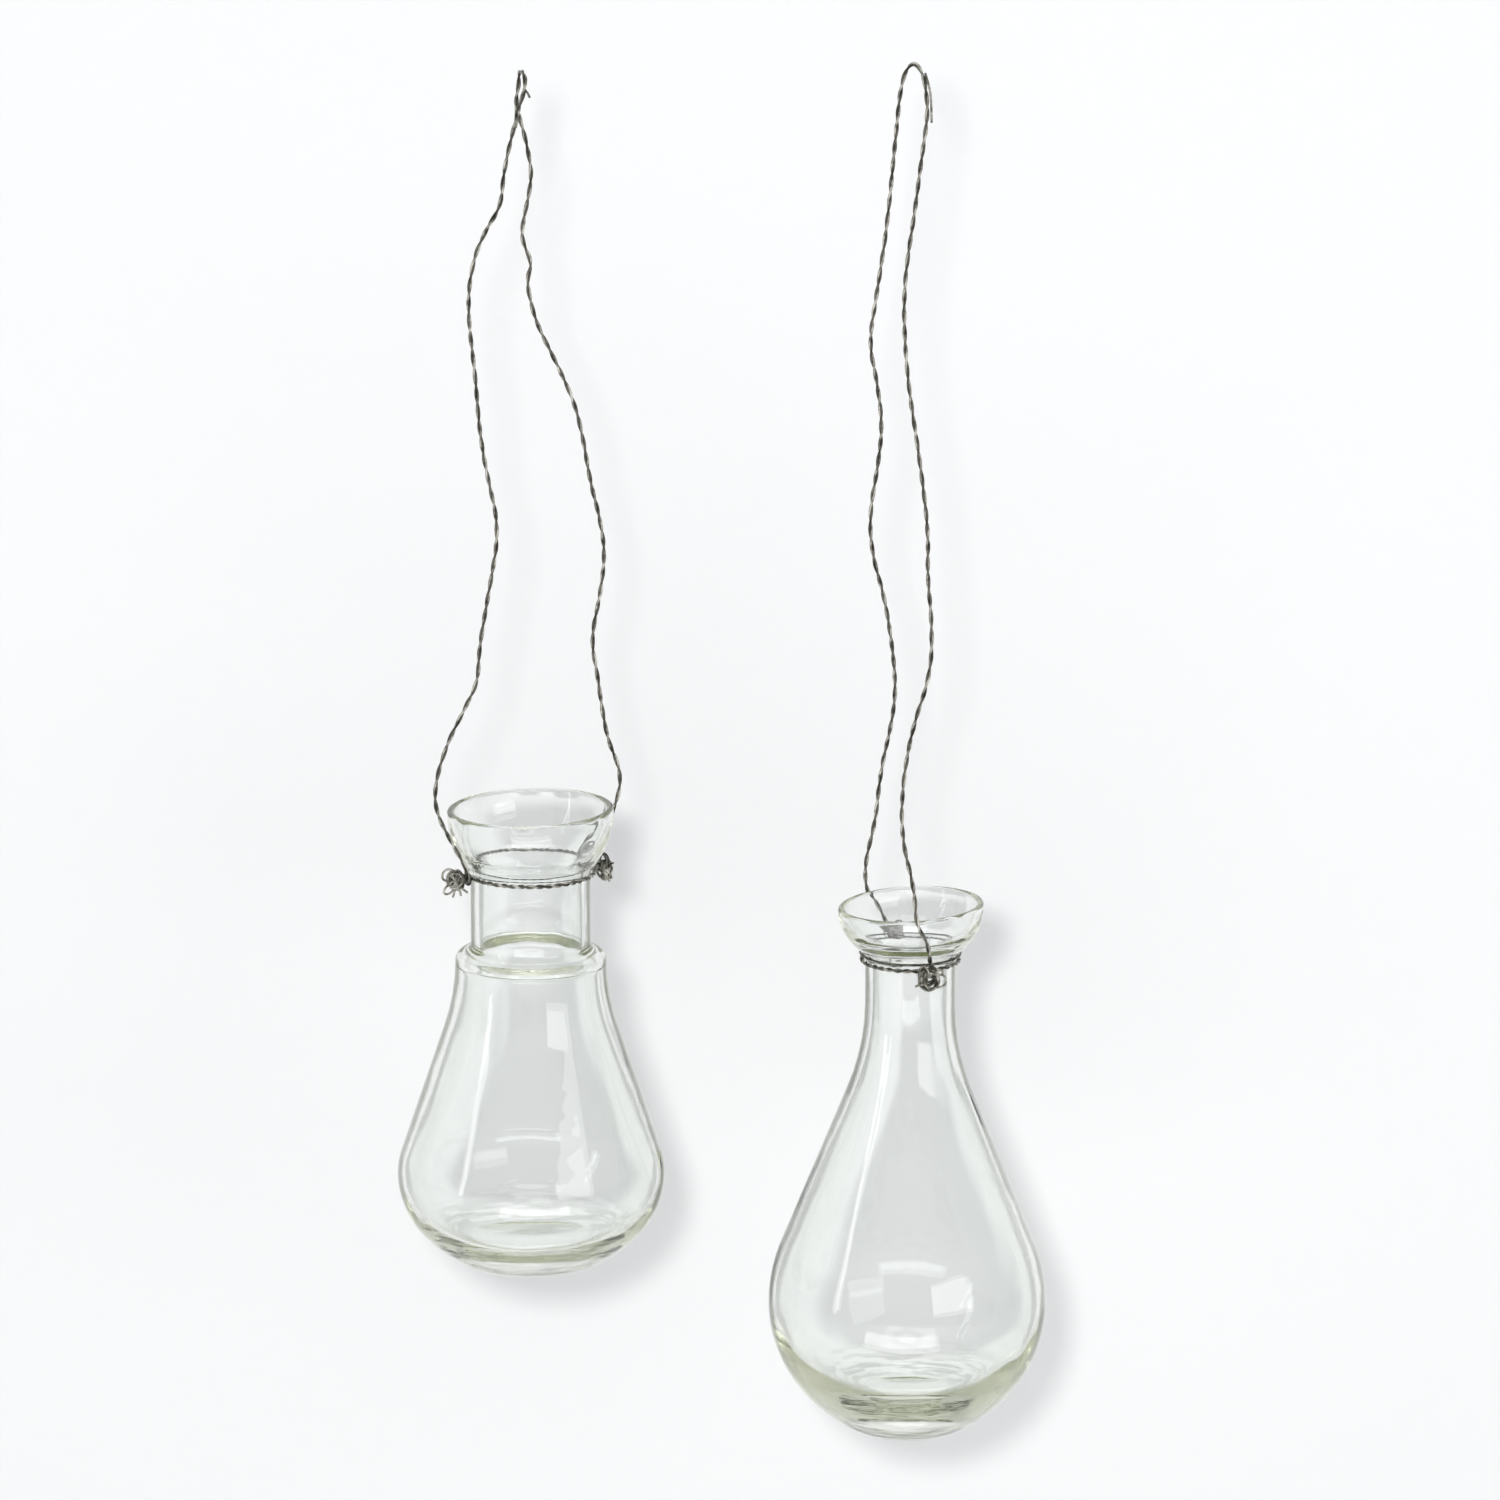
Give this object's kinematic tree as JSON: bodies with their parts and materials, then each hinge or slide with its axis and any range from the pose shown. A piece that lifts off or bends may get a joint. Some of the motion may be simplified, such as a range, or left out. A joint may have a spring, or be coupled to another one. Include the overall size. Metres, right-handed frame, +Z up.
{
  "type": "propagation vase",
  "caption": "Clear blown-glass hanging propagation vases, each held under its flared cup by a twisted-wire collar and slung from a long hand-bent wire hanger with a hook",
  "frame": {"origin": "Inside the crown of the flask hanger's hook, where it hangs on its nail.", "axes": "+Z up, -Y to the front, the pictured side, +X from the flask to the pear-shaped vase."},
  "size_m": [0.1844, 0.079, 0.3921],
  "materials": {
    "clear_glass": "clear, hand blown",
    "steel_wire": "dull, darkened"
  },
  "bodies": {
    "hangers": {"flask_hanger": "steel_wire", "drop_hanger": "steel_wire"},
    "flask_collar": {"flask_collar": "steel_wire", "flask_knot_right": "steel_wire", "flask_knot_left": "steel_wire"},
    "flask_glass": {"flask_glass": "clear_glass"},
    "drop_collar": {"drop_collar": "steel_wire", "drop_collar_strand": "steel_wire", "drop_knot_front": "steel_wire", "drop_knot_rear": "steel_wire"},
    "drop_glass": {"drop_glass": "clear_glass"}
  },
  "joints": [
    {"name": "flask_swing", "type": "hinge", "parent": "hangers", "child": "flask_collar", "pos_m": [0.0018, 0, -0.2255], "axis": [0.8829, 0.4695, 0], "range_deg": [-100, 100]},
    {"name": "flask_turn", "type": "hinge", "parent": "flask_collar", "child": "flask_glass", "pos_m": [0.0018, 0, -0.2255], "axis": [0, 0, 1], "continuous": true},
    {"name": "drop_swing", "type": "hinge", "parent": "hangers", "child": "drop_collar", "pos_m": [0.1088, 0, -0.2505], "axis": [0.2588, -0.9659, 0], "range_deg": [-20, 100]},
    {"name": "drop_turn", "type": "hinge", "parent": "drop_collar", "child": "drop_glass", "pos_m": [0.1088, 0, -0.2505], "axis": [0, 0, 1], "continuous": true}
  ]
}
